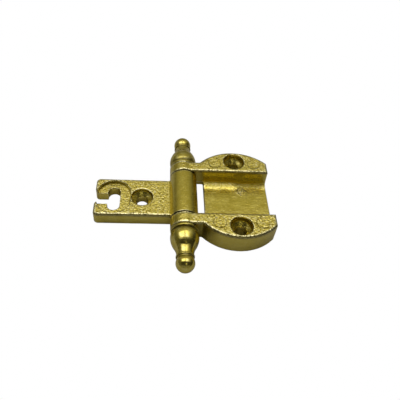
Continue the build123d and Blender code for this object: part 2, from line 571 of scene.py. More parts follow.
@dataclass
class Studio:
    """Camera, mirrored paper, backdrop and light."""

    camera_mm: tuple[float, float, float] = (-9.66, -106.75, 128.26)
    focal_px: float = 445.839
    pitch_deg: float = 48.968
    yaw_deg: float = 8.372
    roll_deg: float = 7.774
    sensor_mm: float = 36.0
    clip_m: Span = (0.01, 20.0)
    half_m: float = 3.0
    shell_rounds: int = 4
    floor_drop_mm: float = 0.02
    # Degrees round the X axis, and the sky's level there.
    sky: tuple[Span, ...] = (
        (-180, 0.17), (-131, 0.20), (-90, 0.19), (-49, 0.18), (0, 0.17), (20, 0.18), (46, 0.34),
        (94, 0.30), (99, 0.10), (103, 0.03), (143, 0.03), (154, 0.16), (165, 0.18), (180, 0.17),
    )
    sky_tint: Colour = (1.0, 0.95, 0.7)
    window_tint: Colour = (1.0, 1.0, 1.35)
    window: Pane = Pane((57.5, 64.0, 91.0, 97.0), (-0.74, -0.60, 0.15, 0.68), 1.56)
    bar: Pane = Pane((62.0, 65.0, 100.0, 101.0), (-0.11, -0.06, 0.0, 0.05))
    lamp: Pane = Pane((112.0, 119.0, 132.0, 139.0), (0.05, 0.09, 0.16, 0.19), 1.5)
    # The plain levels to the left and right, and where they take over along X.
    aside_levels: Span = (0.10, 0.03)
    aside_at: Span = (0.6, 0.95)
    middle: Span = (-0.2, 0.2)

    def camera(self) -> bpy.types.Object:
        """Makes the camera, with its axes worked out from pitch, yaw and roll.

        Returns:
            The camera object, which is also the scene's camera.
        """
        pitch, yaw, roll = map(math.radians, (self.pitch_deg, self.yaw_deg, self.roll_deg))
        flat = math.cos(pitch)
        ahead = Vector((math.sin(yaw) * flat, math.cos(yaw) * flat, -math.sin(pitch)))
        level = Vector((math.cos(yaw), -math.sin(yaw), 0.0))
        upward = level.cross(ahead)
        right = level * math.cos(roll) + upward * math.sin(roll)
        top = upward * math.cos(roll) - level * math.sin(roll)
        turn = Matrix((right, top, -ahead)).transposed()
        data = bpy.data.cameras.new("camera")
        data.sensor_width = self.sensor_mm
        data.lens = self.focal_px * self.sensor_mm / PHOTO_SIDE_PX
        data.clip_start, data.clip_end = self.clip_m
        made = bpy.data.objects.new("camera", data)
        made.matrix_world = Matrix.Translation(Vector(self.camera_mm) * MM) @ turn.to_4x4()
        bpy.context.collection.objects.link(made)
        bpy.context.scene.camera = made
        return made

    def surround(
        self, data: bpy.types.Mesh, paper: bpy.types.Material, seen_by: Ray
    ) -> bpy.types.Object:
        """Puts a surface of the studio into the scene, for one kind of ray only.

        Args:
            data: its mesh, whose name it takes.
            paper: its material.
            seen_by: the kind of ray that meets it.

        Returns:
            The object.
        """
        data.materials.append(paper)
        made = link_mesh(data.name, data)
        for ray in Ray:
            setattr(made, f"visible_{ray.value}", ray is seen_by)
        return made

    def mirrored_floor(self) -> bpy.types.Object:
        """Makes a flat grey sheet under the leaves' backs, which only the metal mirrors.

        Returns:
            The sheet.
        """
        half, low = self.half_m, -self.floor_drop_mm * MM
        corners = [(-half, -half, low), (half, -half, low), (half, half, low), (-half, half, low)]
        data = bpy.data.meshes.new("mirrored_floor")
        data.from_pydata(corners, [], [(0, 1, 2, 3)])
        return self.surround(data, GreyPaper().material("mirrored_paper"), Ray.GLOSSY)

    def backdrop(self) -> bpy.types.Object:
        """Makes a white shell round everything, which only the camera sees.

        Returns:
            The shell.
        """
        data = bpy.data.meshes.new("backdrop")
        shell = bmesh.new()
        bmesh.ops.create_icosphere(shell, subdivisions=self.shell_rounds, radius=self.half_m)
        shell.to_mesh(data)
        shell.free()
        return self.surround(data, WhiteGlow().material("backdrop_paper"), Ray.CAMERA)

    def sky_level(self, graph: Graph, turn: Socket) -> Socket:
        """Adds the sky's level, on a ramp whose 0 to 1 stands for -180 to 180 degrees.

        Args:
            graph: the world's nodes.
            turn: degrees round the X axis.

        Returns:
            The level, as a grey.
        """
        ramp = graph.add("ShaderNodeValToRGB", Fac=graph.plus(0.5, turn, 1 / 360.0))
        stops = ramp.color_ramp.elements
        for _ in range(len(self.sky) - len(stops)):
            stops.new(0.5)
        for stop, (degrees, level) in zip(stops, self.sky):
            stop.position = (degrees + 180.0) / 360.0
            stop.color = (level, level, level, 1.0)
        return ramp.outputs["Color"]

    def light(self) -> None:
        """Lights the scene by its world.

        The sky's level depends on the turn round the X axis and fades to a
        plain level along X. A small lamp is added to it, and a window with one
        glazing bar, in a tint of its own.
        """
        scene = bpy.context.scene
        scene.view_settings.view_transform = "Standard"
        scene.world = bpy.data.worlds.new("studio")
        scene.world.use_nodes = True
        graph = Graph(scene.world.node_tree)
        way = graph.add("ShaderNodeTexCoord").outputs["Generated"]
        parts = graph.add("ShaderNodeSeparateXYZ", Vector=way).outputs
        side = parts["X"]
        turn = graph.times(graph.maths("ARCTAN2", parts["Z"], parts["Y"]), math.degrees(1.0))
        far_aside = graph.spread(graph.maths("ABSOLUTE", side), self.aside_at)
        plain = graph.times(self.sky_level(graph, turn), graph.remainder(far_aside))
        plain = graph.plus(plain, far_aside, graph.spread(side, self.middle, self.aside_levels))
        plain = graph.plus(plain, self.lamp.shape(graph, turn, side), self.lamp.level)
        no_bar = graph.remainder(self.bar.shape(graph, turn, side))
        glass = graph.times(self.window.shape(graph, turn, side), no_bar)
        glass = graph.times(glass, self.window.level)
        total = graph.add("ShaderNodeVectorMath", {"operation": "ADD"})
        graph.feed(total.inputs[0], graph.tinted(plain, self.sky_tint))
        graph.feed(total.inputs[1], graph.tinted(glass, self.window_tint))
        glow = graph.add("ShaderNodeBackground", Color=total.outputs[0])
        graph.add("ShaderNodeOutputWorld", Surface=glow.outputs[0])

    def build(self) -> None:
        """Makes the whole studio."""
        self.camera()
        self.mirrored_floor()
        self.backdrop()
        self.light()
        LOG.info("studio: camera, mirrored floor, backdrop and light")


class Net:
    """Which vertices of a mesh are neighbours."""

    def __init__(self, data: bpy.types.Mesh) -> None:
        """Reads a mesh's edges.

        Args:
            data: the mesh.
        """
        self.ends = rows_of(data.edges, "vertices", 2, np.int64)
        self.count = np.bincount(self.ends.ravel(), minlength=len(data.vertices)).astype(float)

    def mean(self, points: Points) -> Points:
        """Works out the mean place of each vertex's neighbours.

        Args:
            points: the vertices.

        Returns:
            One place per vertex.
        """
        total = np.zeros_like(points)
        for here, there in (self.ends.T, self.ends.T[::-1]):
            for axis in range(3):
                total[:, axis] += np.bincount(here, points[there, axis], len(points))
        return total / self.count[:, None]


@dataclass
class Casting:
    """One casting: a finer skin of its CAD node, with rolled edges and a mould's unevenness.

    A subclass says where the outline of its casting runs and which parts are
    grainy or painted dark. A span is where a mark starts and where it is full.
    """

    node: bpy.types.Object
    seed: int = 1
    body: Body = Body.WING
    # The CAD solid's form.
    top: float = 9.5
    back: float = 0.0
    thickness: float = 8.5
    axis_height: float = 5.0
    barrel_radius: float = 5.0
    bevel: float = 0.3
    holes: tuple[Span, ...] = ()
    hole_rim: float = 3.95
    hole_bore: float = 2.1
    cone_depth: float = 2.2
    # The skin's mesh. The first step is towards the neighbours' mean, the second back.
    weld_m: float = 2e-6
    voxel: float = 0.22
    smooth_rounds: int = 3
    smooth_steps: Span = (0.5, -0.53)
    bulge_rounds: int = 3
    bulge_gain: float = 2.5
    # The mould's unevenness.
    wave: float = 0.02
    wave_pitch: float = 2.6
    pit: float = 0.03
    pit_pitch: float = 0.55
    pit_seed: int = 7
    # The screw holes: a steep wall and a seat in place of the plain cone.
    wall_depth: float = 2.2
    seat_rim: float = 3.7
    seat_depth: float = 3.5
    seat_knee: float = 0.5
    face_slack: float = 0.05
    cone_slack: float = 0.12
    cone_end: float = 0.97
    bore_slack: float = 0.25
    bore_lap: float = 0.1
    # The rolled strip along the outline, the rims of the holes and the barrels' ends.
    roll_width: float = 0.75
    roll_depth: float = 0.17
    roll_reach: float = 1.3
    rim_width: float = 0.45
    rim_slack: float = 0.12
    rim_wear: float = 0.8
    end_round: float = 0.1
    end_slack: float = 0.1
    ring_slack: float = 0.08
    # Painted shade on the bevel, on the black ends, in the holes and on upright walls.
    bevel_share: float = 0.04
    bevel_shade: float = 0.4
    end_shade: Span = (0.14, 0.02)
    hole_shade: float = 0.32
    hole_fade: float = 0.3
    hole_slack: float = 0.4
    rim_fade: float = 0.1
    upright_at: Span = (0.6, 0.3)
    under_edge: tuple[Span, Span] = ((0.3, 0.55), (1.15, 0.75))
    above_back: Span = (0.55, 0.05)
    wall_shade: float = 0.6
    # Grain where a face is level, and on the seats of the holes.
    level_at: Span = (0.8, 0.95)
    seat_start: float = 0.5
    seat_grain: float = 0.45

    def voxel_skin(self) -> bpy.types.Mesh:
        """Merges a copy of the node's triangles and remeshes it into even small faces.

        Returns:
            The new mesh, in millimetres.
        """
        work = bmesh.new()
        work.from_mesh(self.node.data)
        bmesh.ops.remove_doubles(work, verts=work.verts, dist=self.weld_m)
        bmesh.ops.scale(work, vec=(1 / MM, 1 / MM, 1 / MM), verts=work.verts)
        merged = bpy.data.meshes.new("merged")
        work.to_mesh(merged)
        work.free()
        holder = link_mesh("holder", merged)
        remesh = holder.modifiers.new("voxels", "REMESH")
        remesh.mode = "VOXEL"
        remesh.voxel_size = self.voxel
        graph = bpy.context.evaluated_depsgraph_get()
        skin = bpy.data.meshes.new_from_object(holder.evaluated_get(graph))
        bpy.data.objects.remove(holder)
        bpy.data.meshes.remove(merged)
        return skin

    def strip(self, points: Points) -> Values:
        """How far each point is into the rolled strip: 0 at its start, 1 at the outline."""
        raise NotImplementedError

    def top_gap(self, points: Points) -> Values:
        """How far each point is below the outer face that the strip runs along."""
        raise NotImplementedError

    def round_share(self, points: Points) -> Values:
        """1 where the strip sinks towards the pin's axis, 0 where it sinks straight down."""
        raise NotImplementedError

    def grain(self, points: Points, normals: Points) -> Values:
        """How grainy the skin is at each vertex, from 0 to 1."""
        raise NotImplementedError

    def shade_and_marks(self, points: Points) -> Values:
        """How dark the skin is painted at each vertex, from 0 to 1: mostly painted shade, and dark
        marks where a casting has them.
        """
        raise NotImplementedError

    def shaped(self, points: Points) -> Points:
        """The vertices after the changes of form that are this casting's own."""
        raise NotImplementedError

    def from_axis(self, points: Points) -> Values:
        """Distance of each point from the pin's axis."""
        return np.hypot(points[:, 0], points[:, 2] - self.axis_height)

    def from_hole(self, points: Points) -> Values:
        """Distance of each point from the middle line of the nearest screw hole."""
        away = [np.hypot(points[:, 0] - x, points[:, 1] - y) for x, y in self.holes]
        return np.minimum.reduce(away)

    def rolled(self, inset: Values) -> Values:
        """0 where the rolled strip starts and 1 at the bevel, for a distance from the outline."""
        return line(inset, self.bevel + self.roll_width, self.bevel)

    def near_face(self, points: Points) -> Values:
        """1 on the outer face, 0 as deep as the rolling reaches."""
        return ease(self.top_gap(points), self.roll_reach, 0.0)

    def in_holes(self, points: Points) -> Values:
        """Finds the painted shade of the screw holes: on the upper wall and in the bore.

        Args:
            points: the vertices.

        Returns:
            0 outside the holes and on their seats, 1 where the painted shade is darkest.
        """
        away, depth, fade = self.from_hole(points), self.top - points[:, 2], self.hole_fade
        wall = ease(away, self.hole_rim + self.rim_fade, self.hole_rim - self.rim_fade)
        wall *= ease(depth, 0.0, fade) * ease(away, self.seat_rim - fade, self.seat_rim)
        wall *= depth < self.wall_depth + self.hole_slack
        bore = ease(away, self.hole_bore + fade, self.hole_bore)
        bore *= ease(depth, self.seat_depth, self.seat_depth + 2 * fade)
        return np.maximum(wall, bore)

    def on_seats(self, points: Points) -> Values:
        """Finds the seats of the screw holes.

        Args:
            points: the vertices.

        Returns:
            1 on a seat, 0 elsewhere.
        """
        away, depth = self.from_hole(points), self.top - points[:, 2]
        across = (away < self.seat_rim) & (away > self.hole_bore)
        deep = (depth > self.seat_start) & (depth < self.seat_depth + self.hole_slack)
        return (across & deep).astype(float)

    def hole_rims(self, points: Points) -> Values:
        """How far each point is into the rolled rim round a screw hole, from 0 to 1."""
        away = self.from_hole(points) - self.hole_rim
        return line(away, self.rim_width, 0.0) * (away > -self.rim_slack)

    def low_on_walls(self, points: Points, normals: Points) -> Values:
        """Finds painted shade on upright walls: a line under the rolled edge, a contact shadow
        above the back.

        Args:
            points: the vertices.
            normals: their normals.

        Returns:
            1 where the painted shade is darkest.
        """
        gap, height = self.top - points[:, 2], points[:, 2] - self.back
        upper = ease(gap, *self.under_edge[0]) * ease(gap, *self.under_edge[1])
        lower = ease(height, *self.above_back)
        return ease(np.abs(normals[:, 2]), *self.upright_at) * np.maximum(upper, lower)

    def squared_ends(self, points: Points, ends: tuple[tuple[float, int], ...]) -> Points:
        """Fills the bevel at each end of a barrel or knuckle, down to a slight rounding.

        Args:
            points: the vertices.
            ends: distance of each end along the pin, and 1 if the solid lies inside it, else -1.

        Returns:
            The moved vertices.
        """
        made = points.copy()
        across = np.abs(points[:, 1])
        from_axis = self.from_axis(points)
        ring_start = self.barrel_radius - self.bevel - self.ring_slack
        on_ring = (from_axis > ring_start) & (np.abs(points[:, 0]) < self.barrel_radius)
        for end, side in ends:
            inset = side * (end - across)
            on_bevel = on_ring & (inset > -self.end_slack) & (inset < self.bevel)
            wanted = self.barrel_radius - self.end_round * line(inset, self.bevel, 0.0) ** 2
            outward = np.maximum(wanted / np.maximum(from_axis, TINY), 1.0)
            scale = np.where(on_bevel, outward, 1.0)
            made[:, 0] *= scale
            made[:, 2] = self.axis_height + (made[:, 2] - self.axis_height) * scale
        return made

    def sunk_seats(self, points: Points) -> Points:
        """Turns each plain cone of a screw hole into a steep wall with a seat below it.

        Down the cone, the share from rim to bore is laid on a line of two
        spans: the steep wall, then the seat. The bore below is shortened to
        match.

        Args:
            points: the vertices.

        Returns:
            The moved vertices.
        """
        made = points.copy()
        shares = (0.0, self.seat_knee, 1.0)
        left = (self.thickness - self.seat_depth) / (self.thickness - self.cone_depth)
        for x, y in self.holes:
            ahead, aside = points[:, 0] - x, points[:, 1] - y
            away = np.maximum(np.hypot(ahead, aside), TINY)
            depth = self.top - points[:, 2]
            below_face = depth > self.face_slack
            cone_share = (self.hole_rim - away) / (self.hole_rim - self.hole_bore)
            radius = np.interp(cone_share, shares, (self.hole_rim, self.seat_rim, self.hole_bore))
            sunk = np.interp(cone_share, shares, (0.0, self.wall_depth, self.seat_depth))
            on_cone = (away < self.hole_rim) & (cone_share < self.cone_end)
            on_cone &= below_face & (depth < self.cone_depth + self.cone_slack)
            in_bore = (away < self.hole_bore + self.bore_slack) & ~on_cone & below_face
            lower = self.seat_depth + (depth - self.cone_depth) * left
            lower = np.maximum(lower, self.seat_depth - self.bore_lap)
            scale = np.where(on_cone, radius / away, 1.0)
            depth = np.where(on_cone, sunk, np.where(in_bore, lower, depth))
            made[:, 0] = np.where(on_cone, x + ahead * scale, made[:, 0])
            made[:, 1] = np.where(on_cone, y + aside * scale, made[:, 1])
            made[:, 2] = np.where(on_cone | in_bore, self.top - depth, made[:, 2])
        return made

    def roll_edges(self, points: Points) -> Points:
        """Rolls the outer edges over, as tumbling leaves them.

        A point sinks by the roll's depth times the square of its share of the
        strip, less and less with its distance below the face.

        Args:
            points: the vertices.

        Returns:
            The moved vertices.
        """
        sink = self.roll_depth * self.strip(points) ** 2 * self.near_face(points)
        share = self.round_share(points)
        aside = points[:, 0] * share
        above = np.where(share > 0, points[:, 2] - self.axis_height, 1.0)
        length = np.maximum(np.hypot(aside, above), TINY)
        made = points.copy()
        made[:, 0] -= sink * aside / length
        made[:, 2] -= sink * above / length
        return made

    def build(self, material: bpy.types.Material) -> bpy.types.Object:
        """Makes the piece.

        The skin is smoothed by moving each vertex towards its neighbours' mean
        and back by slightly more, which rounds edges without shrinking. Then
        each vertex moves along its normal by a broad wave plus fine pits. How
        far a vertex stands out from its neighbours' mean is kept as the
        attribute edge, positive on outer edges and negative in creases, where
        the finish paints shade.

        Args:
            material: the casting's finish.

        Returns:
            The piece, which replaces its CAD node.
        """
        skin = self.voxel_skin()
        net = Net(skin)
        points = rows_of(skin.vertices, "co", 3, float)
        strip, near_face = self.strip(points), self.near_face(points)
        on_bevel = ease(strip, 1.0 - self.bevel_share, 1.0) * near_face
        rubbed = strip * near_face * (1.0 - on_bevel)
        # Painted shade and dark marks from the casting's map, and a dark line of painted shade on
        # the bevel.
        shade_and_marks = np.maximum(self.shade_and_marks(points), self.bevel_shade * on_bevel)
        points = self.sunk_seats(self.shaped(self.roll_edges(points)))
        for step in self.smooth_steps * self.smooth_rounds:
            points = points + step * (net.mean(points) - points)
        skin.vertices.foreach_set("co", points.ravel())
        skin.update()
        normals = rows_of(skin.vertices, "normal", 3, float)
        around = points
        for _ in range(self.bulge_rounds):
            around = net.mean(around)
        bulge = ((points - around) * normals).sum(axis=1) / self.voxel * self.bulge_gain
        edge = np.maximum(np.clip(bulge, -1.0, 1.0), rubbed)
        # Painted shade on upright walls: a line under the rolled edge and a contact shadow above
        # the back.
        shade_and_marks = np.maximum(shade_and_marks, self.wall_shade * self.low_on_walls(points, normals))
        grain = self.grain(points, normals)
        height = self.wave * lattice_noise(points, self.wave_pitch, self.seed)
        pits = lattice_noise(points, self.pit_pitch, self.seed + self.pit_seed)
        height += self.pit * grain * pits
        points = (points + normals * height[:, None]) * MM
        skin.vertices.foreach_set("co", points.ravel())
        skin.update()
        mark_vertices(skin, "edge", edge)
        mark_vertices(skin, "grain", grain)
        # The painted shade, with any dark marks, goes to the finish as an attribute.
        mark_vertices(skin, "shade_and_marks", np.clip(shade_and_marks, 0.0, 1.0))
        skin.shade_smooth()
        skin.materials.clear()
        skin.materials.append(material)
        made = link_mesh(f"{self.node.name}_cast", skin)
        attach(made, self.body.value)
        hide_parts(self.node.name)
        LOG.info("%s: %d vertices", made.name, len(points))
        return made


@dataclass
class WingCasting(Casting):
    """The wing leaf: two cheeks, the floor of the channel between them and two knuckles."""

    seed: int = 3
    back: float = 1.0
    channel_half: float = 10.0
    channel_floor: float = 2.8
    knuckle_end: float = 14.7
    neck_start: float = 3.0
    arc_radius: float = 17.5
    arc_spread: float = 3.0
    screw_line: float = 19.3
    reach: float = 32.0
    holes: tuple[Span, ...] = ((19.3, 15.5), (19.3, -15.5))
    # The channel's corner: the CAD fillet, and the shallow ramp that takes its place.
    corner: float = 1.5
    corner_slack: Span = (-0.5, 0.25)
    floor_slack: float = 0.2
    ramp_start: float = 6.3
    ramp_soft: float = 1.6
    ramp_end: float = 9.7
    ramp_slope: float = 0.28
    ramp_ends: Span = (22.5, 19.0)
    ramp_least: float = 0.35
    ramp_share: float = 0.55
    # Painted shade along the knuckles and in the notches; dark rings in the ejector marks and spots
    # in the rough patch.
    knuckle_shade: Span = (4.5, 3.5)
    mark_pitch: float = 7.5
    mark_line: float = 14.2
    mark_radius: float = 2.3
    mark_width: float = 0.35
    mark_depth: float = 0.5
    mark_tarnish: float = 0.45
    patch: tuple[float, float, float] = (22.2, 5.9, 2.6)
    patch_fade: float = 0.4
    patch_height: float = 1.0
    spot_pitch: float = 0.38
    spot_at: Span = (0.1, 0.35)
    spot_seed: int = 2
    spot_tarnish: float = 0.7
    notch_along: Span = (9.5, 7.0)
    notch_across: Span = (17.0, 15.5)
    notch_fade: float = 0.3
    notch_shade: float = 0.4
    # Grain at least, on the necks, up to a height above the floor, in its patch, beside walls.
    least_grain: float = 0.12
    neck_width: float = 1.5
    neck_smooth: float = 0.55
    floor_height: float = 1.15
    patch_grain: float = 0.9
    beside_width: float = 3.6
    beside_grain: float = 0.95

    def strip(self, points: Points) -> Values:
        """Follows the cheek's arc, the knuckle's end, the channel and the leaf's end.

        Args:
            points: the vertices.

        Returns:
            0 at the rolled strip's start and 1 at the outline, less at the holes' rims.
        """
        along, across = points[:, 0], np.abs(points[:, 1])
        from_middle = np.hypot(along - self.screw_line, across - self.arc_spread)
        from_neck = np.where(along < self.screw_line, self.knuckle_end - across, -1.0)
        outer = np.maximum(self.arc_radius - from_middle, from_neck)
        inset = np.minimum.reduce([outer, across - self.channel_half, self.reach - along])
        return np.maximum(self.rolled(inset), self.rim_wear * self.hole_rims(points))

    def top_gap(self, points: Points) -> Values:
        """How far each point is below the cheeks' top or inside the knuckles' round face."""
        inside = self.barrel_radius - self.from_axis(points)
        return np.where(points[:, 0] < self.neck_start, inside, self.top - points[:, 2])

    def round_share(self, points: Points) -> Values:
        """1 on the knuckles, 0 on the cheeks."""
        return ease(points[:, 0], self.barrel_radius, self.neck_start)

    def in_patch(self, points: Points) -> Values:
        """1 in the diamond of rough skin on the channel's floor, fading to 0 at its border."""
        away = np.abs(points[:, 0] - self.patch[0]) + np.abs(points[:, 1] - self.patch[1])
        return ease(away, self.patch[2], self.patch[2] - self.patch_fade)

    def shade_and_marks(self, points: Points) -> Values:
        """Painted shade: black on the knuckles' ends, brown in holes and beside the finials; dark
        marks and spots.

        Args:
            points: the vertices.

        Returns:
            How dark the skin is painted, from 0 to 1.
        """
        along, across, level = points[:, 0], np.abs(points[:, 1]), points[:, 2]
        nearest = np.minimum(across - self.channel_half, self.knuckle_end - across)
        ends = ease(nearest, *self.end_shade) * ease(along, *self.knuckle_shade)
        mark_x = np.abs(along - self.screw_line) - self.mark_pitch
        from_mark = np.abs(np.hypot(mark_x, across - self.mark_line) - self.mark_radius)
        ring = ease(from_mark, self.mark_width, 0.0) * (level > self.top - self.mark_depth)
        spots = lattice_noise(points, self.spot_pitch, self.seed + self.spot_seed)
        spots = ease(spots, *self.spot_at) * self.in_patch(points)
        spots *= np.abs(level - self.channel_floor) < self.patch_height
        # Painted shade in the notch beside each finial.
        notch = ease(across, self.knuckle_end - self.notch_fade, self.knuckle_end)
        notch *= ease(along, *self.notch_along) * ease(across, *self.notch_across)
        return np.maximum.reduce([
            ends,
            self.hole_shade * self.in_holes(points),
            self.mark_tarnish * ring,
            self.spot_tarnish * spots,
            self.notch_shade * notch,
        ])

    def ramp_rise(self, along: Values, across: Values) -> Values:
        """Works out how far the ramp stands above the channel's plain floor.

        It starts on a parabola, goes on straight at its slope, and is lower
        towards the leaf's end.

        Args:
            along: distance from the pin's axis.
            across: distance from the channel's middle.

        Returns:
            The height.
        """
        run = np.clip(across - self.ramp_start, 0.0, self.ramp_end - self.ramp_start)
        soft = self.ramp_soft
        rise = self.ramp_slope * np.where(run < soft, run**2 / (2 * soft), run - soft / 2)
        return rise * (self.ramp_least + (1.0 - self.ramp_least) * ease(along, *self.ramp_ends))

    def shaped(self, points: Points) -> Points:
        """Squares the knuckles' ends, and lays a shallow ramp in place of the channel's fillets.

        On a fillet the turn round its centre gives a share from 0 at the floor
        to 1 at the wall. Up to a fixed share the points are laid along the
        ramp, and the rest on a curve up to the wall, which has a sharper foot.

        Args:
            points: the vertices.

        Returns:
            The moved vertices.
        """
        made = self.squared_ends(points, ((self.channel_half, -1), (self.knuckle_end, 1)))
        along, across, level = points[:, 0], np.abs(points[:, 1]), points[:, 2]
        centre = self.channel_half - self.corner, self.channel_floor + self.corner
        past, below = across - centre[0], centre[1] - level
        from_arc = np.hypot(past, below) - self.corner
        fillet = (past > 0) & (below > 0)
        fillet &= (from_arc > self.corner_slack[0]) & (from_arc < self.corner_slack[1])
        share = np.arctan2(past, np.maximum(below, TINY)) / (math.pi / 2)
        low, high = line(share, 0.0, self.ramp_share), line(share, self.ramp_share, 1.0)
        side = centre[0] + (self.ramp_end - centre[0]) * low
        side = side + (self.channel_half - self.ramp_end) * (1.0 - (1.0 - high) ** 2)
        across = np.where(fillet, side, across)
        rise = self.ramp_rise(along, across)
        foot = self.channel_floor + rise
        climb = foot + (centre[1] - foot) * high
        on_floor = np.abs(level - self.channel_floor) < self.floor_slack
        on_floor &= (across < self.channel_half) & ~fillet
        level = np.where(fillet, climb, np.where(on_floor, level + rise, made[:, 2]))
        leaf = along > self.barrel_radius
        made[:, 1] = np.where(leaf & fillet, np.sign(points[:, 1]) * across, made[:, 1])
        made[:, 2] = np.where(leaf, level, made[:, 2])
        return made

    def grain(self, points: Points, normals: Points) -> Values:
        """Full on the cheeks' tops, less on the necks, on the floor beside the walls.

        Args:
            points: the vertices.
            normals: their normals.

        Returns:
            How grainy the skin is, from 0 to 1.
        """
        from_wall = self.channel_half - np.abs(points[:, 1])
        beside = self.beside_grain * ease(from_wall, self.beside_width, 0.0)
        rough = self.least_grain + self.patch_grain * self.in_patch(points)
        knuckle = line(points[:, 0], self.neck_start, self.neck_start - self.neck_width)
        on_floor = points[:, 2] < self.channel_floor + self.floor_height
        zone = np.where(on_floor, np.maximum(rough, beside), 1.0 - self.neck_smooth * knuckle)
        upward = line(normals[:, 2], *self.level_at)
        level = self.least_grain + (1.0 - self.least_grain) * upward * zone
        return np.maximum(level, self.seat_grain * self.on_seats(points))


@dataclass
class ArmCasting(Casting):
    """The arm leaf: a flat arm with a key slot in a sunk landing, one screw hole and the barrel."""

    seed: int = 11
    body: Body = Body.ARM
    top: float = 5.3
    thickness: float = 5.3
    arm_half: float = 8.5
    barrel_half: float = 9.7
    reach: float = 32.0
    corner: float = 1.5
    holes: tuple[Span, ...] = ((-15.15, 0.0),)
    wall_depth: float = 1.3
    seat_depth: float = 2.6
    landing_x: float = -25.3
    landing_radius: float = 5.95
    landing_travel: float = 3.2
    # Wear of the landing's rim, on the barrel and along the arm's rear side.
    landing_roll: float = 0.5
    landing_slack: float = 0.15
    landing_wear: float = 0.7
    barrel_wear: float = 0.25
    rear_wear: float = 0.7
    # Painted shade on the landing's wall: how near it, from how deep, and above which height.
    landing_near: float = 0.25
    landing_deep: Span = (0.3, 0.7)
    landing_low: float = 1.0
    landing_shade: float = 0.35
    # Grain at least, more on the barrel and on the arm's level faces, and how it changes.
    least_grain: float = 0.1
    barrel_grain: float = 0.08
    arm_grain: float = 0.9
    grain_fade: float = 0.4

    def from_landing(self, points: Points) -> Values:
        """Distance of each point outside the landing's round-ended outline."""
        past_end = np.maximum(np.abs(points[:, 1]) - self.landing_travel / 2, 0.0)
        return np.hypot(points[:, 0] - self.landing_x, past_end) - self.landing_radius

    def strip(self, points: Points) -> Values:
        """Follows the arm's outline with its round corners, the barrel's ends and the landing.

        Args:
            points: the vertices.

        Returns:
            0 at the rolled strip's start and 1 at the outline, less where it is less worn.
        """
        along, across = points[:, 0], np.abs(points[:, 1])
        past_x = np.maximum(self.corner - (along + self.reach), 0.0)
        past_y = np.maximum(across - (self.arm_half - self.corner), 0.0)
        on_barrel = along > -self.barrel_radius
        flat = self.corner - np.hypot(past_x, past_y)
        outer = self.rolled(np.where(on_barrel, self.barrel_half - across, flat))
        arm_wear = np.where(points[:, 1] > 0, self.rear_wear, 1.0)
        outer *= np.where(on_barrel, self.barrel_wear, arm_wear)
        landing = self.from_landing(points)
        rim = line(landing, self.landing_roll, 0.0) * (landing > -self.landing_slack)
        rims = self.rim_wear * self.hole_rims(points)
        return np.maximum.reduce([outer, self.landing_wear * rim, rims])

    def top_gap(self, points: Points) -> Values:
        """How far each point is below the arm's top or inside the barrel's round face."""
        inside = self.barrel_radius - self.from_axis(points)
        return np.where(points[:, 0] < -self.barrel_radius, self.top - points[:, 2], inside)

    def round_share(self, points: Points) -> Values:
        """1 on the barrel, 0 on the arm."""
        return (points[:, 0] > -self.barrel_radius).astype(float)

    def shade_and_marks(self, points: Points) -> Values:
        """Painted shade: black on the barrel's ends, brown in the screw hole and on the landing's
        wall.

        Args:
            points: the vertices.

        Returns:
            How dark the skin is painted, from 0 to 1.
        """
        along, across, level = points[:, 0], np.abs(points[:, 1]), points[:, 2]
        ends = ease(self.barrel_half - across, *self.end_shade) * (along > -self.barrel_radius)
        wall = ease(self.top - level, *self.landing_deep) * (level > self.landing_low)
        wall *= np.abs(self.from_landing(points)) < self.landing_near
        holes = self.hole_shade * self.in_holes(points)
        return np.maximum.reduce([ends, holes, self.landing_shade * wall])

    def shaped(self, points: Points) -> Points:
        """Squares the barrel's ends."""
        return self.squared_ends(points, ((self.barrel_half, 1),))

    def grain(self, points: Points, normals: Points) -> Values:
        """Full on the arm's top and in the landing, little on the barrel and the sides.

        Args:
            points: the vertices.
            normals: their normals.

        Returns:
            How grainy the skin is, from 0 to 1.
        """
        along, join, fade = points[:, 0], -self.barrel_radius, self.grain_fade
        on_arm = line(along, join, join - fade) * line(normals[:, 2], *self.level_at)
        on_barrel = line(along, join, join + fade)
        level = self.least_grain + self.barrel_grain * on_barrel + self.arm_grain * on_arm
        return np.maximum(level, self.seat_grain * self.on_seats(points))


